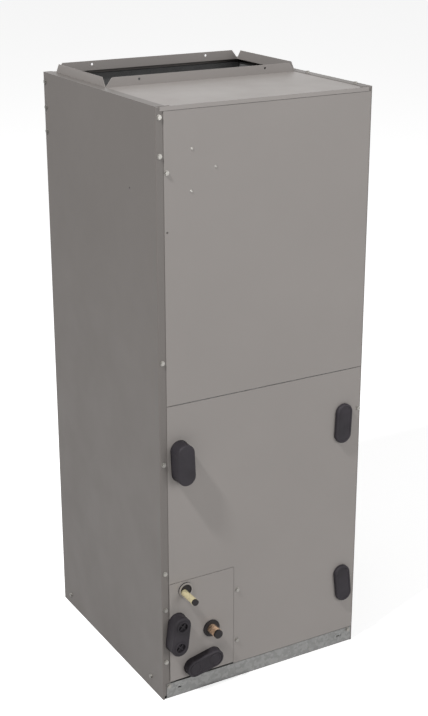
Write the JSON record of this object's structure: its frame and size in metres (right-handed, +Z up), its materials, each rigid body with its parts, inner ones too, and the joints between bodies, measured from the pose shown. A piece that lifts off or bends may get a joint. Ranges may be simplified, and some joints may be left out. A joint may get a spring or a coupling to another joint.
{
  "type": "air handler",
  "caption": "Upflow air handler cabinet: sheet-metal case with supply collar, two access panels, A-coil, drain pans, centrifugal blower on slides, filter and pull-off filter door.",
  "frame": {"origin": "centre of the cabinet's footprint, which is also the centre of the return opening, on the floor plane", "axes": "+X to the right seen from the front, +Y to the back, +Z up; the front faces -Y"},
  "size_m": [0.5406, 0.612, 1.396],
  "materials": {
    "case_paint_side": "satin warm grey paint on sheet steel",
    "case_paint_top": "satin warm grey paint on sheet steel",
    "case_paint_front": "satin warm grey paint on sheet steel",
    "galvanised": "spangled zinc coating",
    "liner_board": "dark faced glass-fibre insulation board",
    "drain_plastic": "black moulded plastic with a fine grain",
    "fin_pack": "thin bare fins",
    "copper_tube": "bare copper tube",
    "brass_fitting": "plain machined brass",
    "black_rubber": "matt moulded rubber",
    "filter_card": "uncoated card",
    "filter_fibre": "pleated fibre",
    "board_laminate": "solder-masked laminate",
    "terminal_plastic": "moulded plastic",
    "core_steel": "varnished laminations",
    "motor_case": "semi-gloss black paint",
    "shaft_steel": "ground steel",
    "zinc_screw": "bright zinc plating"
  },
  "bodies": {
    "casing": {"left_side_panel": "case_paint_side", "right_side_panel": "case_paint_side", "back_panel": "case_paint_side", "top_panel": "case_paint_top", "base_frame": "galvanised", "filter_rails": "galvanised", "cross_rail": "galvanised", "coil_rails": "galvanised", "side_liners": "liner_board", "back_liner": "liner_board", "bottom_drain_pan": "drain_plastic", "side_drain_pan": "drain_plastic", "drain_plugs": "drain_plastic", "coil_left": "fin_pack", "coil_right": "fin_pack", "tube_sheets": "galvanised", "return_bends": "copper_tube", "delta_plates": "galvanised", "coil_top_cap": "galvanised", "suction_header": "copper_tube", "liquid_stub": "brass_fitting", "liquid_line": "copper_tube", "metering_device": "brass_fitting", "distributor_tubes": "copper_tube", "grommets": "black_rubber", "blower_deck": "galvanised", "blower_slide_rails": "galvanised", "plenum_partition": "galvanised", "heater_cover": "galvanised", "control_box": "galvanised", "control_board": "board_laminate", "transformer": "core_steel", "terminal_block": "terminal_plastic", "connection_plate": "case_paint_front", "casing_screws": "zinc_screw"},
    "upper_panel": {"upper_access_panel": "case_paint_front", "upper_panel_liner": "liner_board", "upper_panel_screw": "zinc_screw", "panel_rivets": "zinc_screw"},
    "lower_panel": {"lower_access_panel": "case_paint_front", "lower_panel_liner": "liner_board", "lower_panel_screws": "zinc_screw", "blank_port_plugs": "drain_plastic"},
    "filter_door": {"filter_door": "galvanised", "filter_door_screws": "zinc_screw"},
    "filter": {"filter_frame": "filter_card", "filter_media": "filter_fibre"},
    "blower_assembly": {"scroll_wrapper": "galvanised", "blower_side_left": "galvanised", "blower_side_right": "galvanised", "motor_shell": "motor_case", "motor_bearings": "shaft_steel", "motor_stator": "core_steel", "motor_module": "motor_case", "motor_mount": "galvanised"},
    "blower_rotor": {"blower_wheel": "galvanised", "motor_rotor": "core_steel", "motor_shaft": "shaft_steel"},
    "liquid_plug": {"liquid_plug": "black_rubber"},
    "suction_plug": {"suction_plug": "black_rubber"}
  },
  "joints": [
    {"name": "upper_panel_slide", "type": "slide", "parent": "casing", "child": "upper_panel", "axis": [0, -1, 0], "range_m": [0, 0.6]},
    {"name": "blower_slide", "type": "slide", "parent": "casing", "child": "blower_assembly", "axis": [0, -1, 0], "range_m": [0, 0.36]},
    {"name": "wheel_spin", "type": "hinge", "parent": "blower_assembly", "child": "blower_rotor", "pos_m": [0, 0.0385, 0.961], "axis": [1, 0, 0], "continuous": true},
    {"name": "lower_panel_slide", "type": "slide", "parent": "casing", "child": "lower_panel", "axis": [0, -1, 0], "range_m": [0, 0.6]},
    {"name": "filter_door_slide", "type": "slide", "parent": "casing", "child": "filter_door", "axis": [0, -1, 0], "range_m": [0, 0.6]},
    {"name": "filter_slide", "type": "slide", "parent": "casing", "child": "filter", "axis": [0, -1, 0], "range_m": [0, 0.51]},
    {"name": "liquid_plug_pull", "type": "slide", "parent": "casing", "child": "liquid_plug", "axis": [0, -1, 0], "range_m": [0, 0.04]},
    {"name": "suction_plug_pull", "type": "slide", "parent": "casing", "child": "suction_plug", "axis": [0, -1, 0], "range_m": [0, 0.04]}
  ],
  "couplings": [
    {"joint": "blower_slide", "follows": "upper_panel_slide", "ratio": 0.6},
    {"joint": "filter_slide", "follows": "filter_door_slide", "ratio": 0.85}
  ]
}
